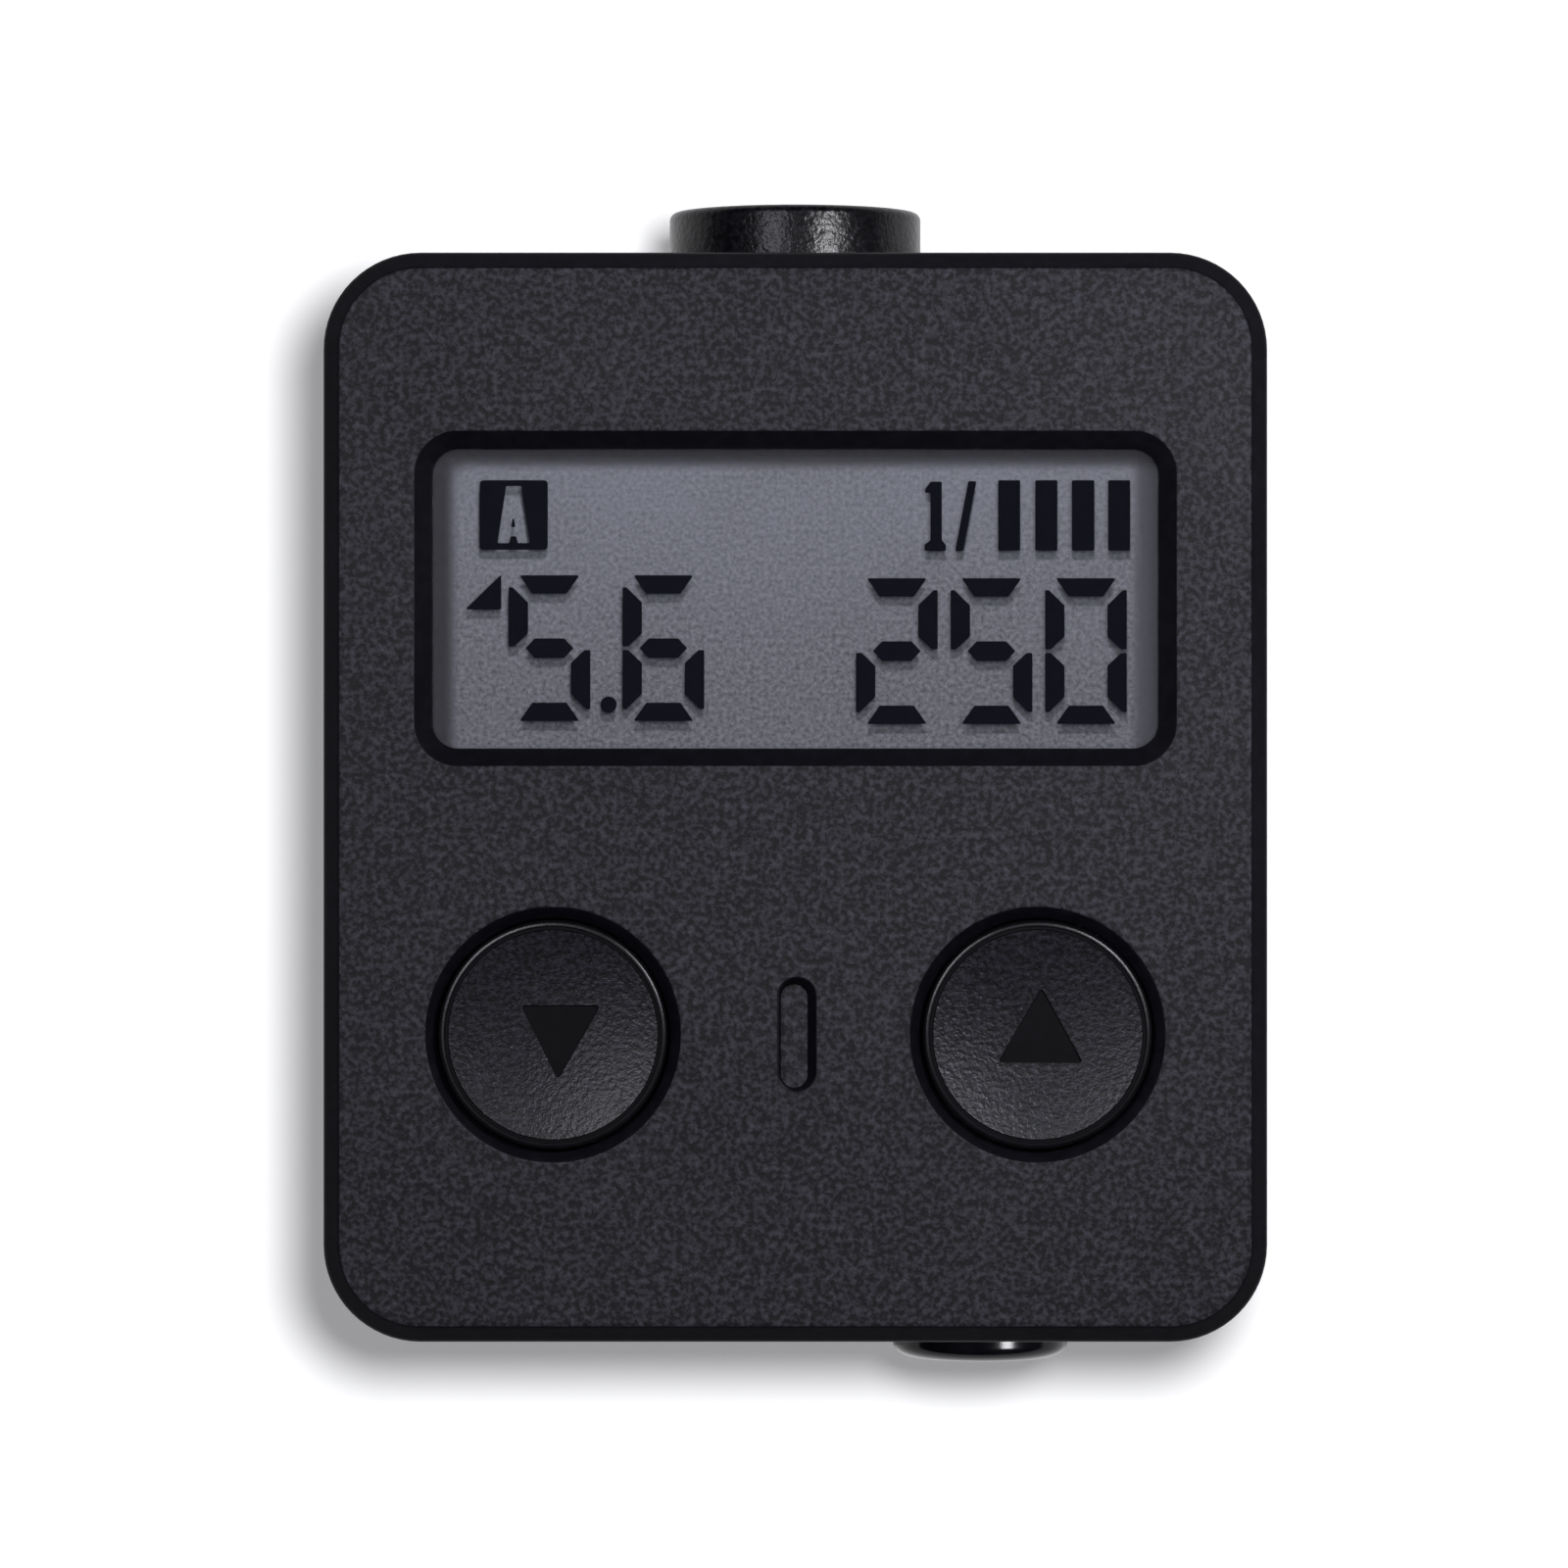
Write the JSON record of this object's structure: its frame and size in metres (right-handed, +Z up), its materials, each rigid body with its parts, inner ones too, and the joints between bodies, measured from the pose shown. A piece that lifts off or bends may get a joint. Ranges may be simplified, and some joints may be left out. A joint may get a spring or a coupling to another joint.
{
  "type": "shoe mount light meter",
  "caption": "Small black exposure meter on an accessory shoe foot, with a display, two keys, a thumb button, a front light sensor and a sliding battery tray.",
  "frame": {"origin": "centre of the shoe foot's underside", "axes": "+Z up out of the display face, +Y to the front with the light sensor, +X to the right seen from above"},
  "size_m": [0.035, 0.0434, 0.017],
  "materials": {
    "case_plastic": "spark eroded moulded surface, fine grain",
    "foot_plastic": "smooth moulded surface",
    "key_plastic": "fine grain with a light sheen",
    "gloss_plastic": "polished",
    "hood_plastic": "moulded grain with gloss",
    "window_clear": "clear polished acrylic",
    "lcd_film": "matt polarising film",
    "lcd_glass": "clear polished glass",
    "lcd_reflector": "grey reflective film",
    "inner_plastic": "moulded",
    "strip_rubber": "soft silicone",
    "circuit_board": "solder mask",
    "chip_plastic": "moulded",
    "chip_ceramic": "fired",
    "can_steel": "nickel plated",
    "contact_brass": "plated spring strip",
    "screw_steel": "blackened",
    "lens_clear": "polished"
  },
  "bodies": {
    "case": {"top_shell": "case_plastic", "bottom_cover": "case_plastic", "shoe_foot": "foot_plastic", "sensor_hood": "hood_plastic", "display_window": "window_clear", "lcd_front_polariser": "lcd_film", "lcd_front_glass": "lcd_glass", "lcd_rear_glass": "lcd_glass", "lcd_reflector": "lcd_reflector", "lcd_holder": "inner_plastic", "contact_strip": "strip_rubber", "main_board": "circuit_board", "sensor_board": "circuit_board", "controller_chip": "chip_plastic", "photodiode": "chip_plastic", "timing_crystal": "can_steel", "chip_capacitor_1": "chip_ceramic", "chip_capacitor_2": "chip_ceramic", "chip_capacitor_3": "chip_ceramic", "switch_down": "inner_plastic", "switch_up": "inner_plastic", "measure_switch": "inner_plastic", "sensor_lens": "lens_clear", "light_baffle": "inner_plastic", "contact_positive": "contact_brass", "contact_negative": "contact_brass", "case_screw_1": "screw_steel", "foot_screw_1": "screw_steel", "case_screw_2": "screw_steel", "foot_screw_2": "screw_steel", "case_screw_3": "screw_steel", "foot_screw_3": "screw_steel", "case_screw_4": "screw_steel", "foot_screw_4": "screw_steel"},
    "down_key": {"button_down": "key_plastic", "plunger_down": "contact_brass"},
    "up_key": {"button_up": "key_plastic", "plunger_up": "contact_brass"},
    "measure_key": {"measure_button": "gloss_plastic", "measure_plunger": "contact_brass"},
    "tray": {"battery_tray": "case_plastic", "cell_can": "can_steel", "cell_cap": "can_steel"}
  },
  "joints": [
    {"name": "down_press", "type": "slide", "parent": "case", "child": "down_key", "axis": [0, 0, -1], "range_m": [0, 0.0004], "stiffness_N_per_m": 1500, "springref_m": -0.0002},
    {"name": "up_press", "type": "slide", "parent": "case", "child": "up_key", "axis": [0, 0, -1], "range_m": [0, 0.0004], "stiffness_N_per_m": 1500, "springref_m": -0.0002},
    {"name": "measure_press", "type": "slide", "parent": "case", "child": "measure_key", "axis": [0, 1, 0], "range_m": [0, 0.0005], "stiffness_N_per_m": 1500, "springref_m": -0.0002},
    {"name": "tray_slide", "type": "slide", "parent": "case", "child": "tray", "axis": [-1, 0, 0], "range_m": [0, 0.0224]}
  ]
}
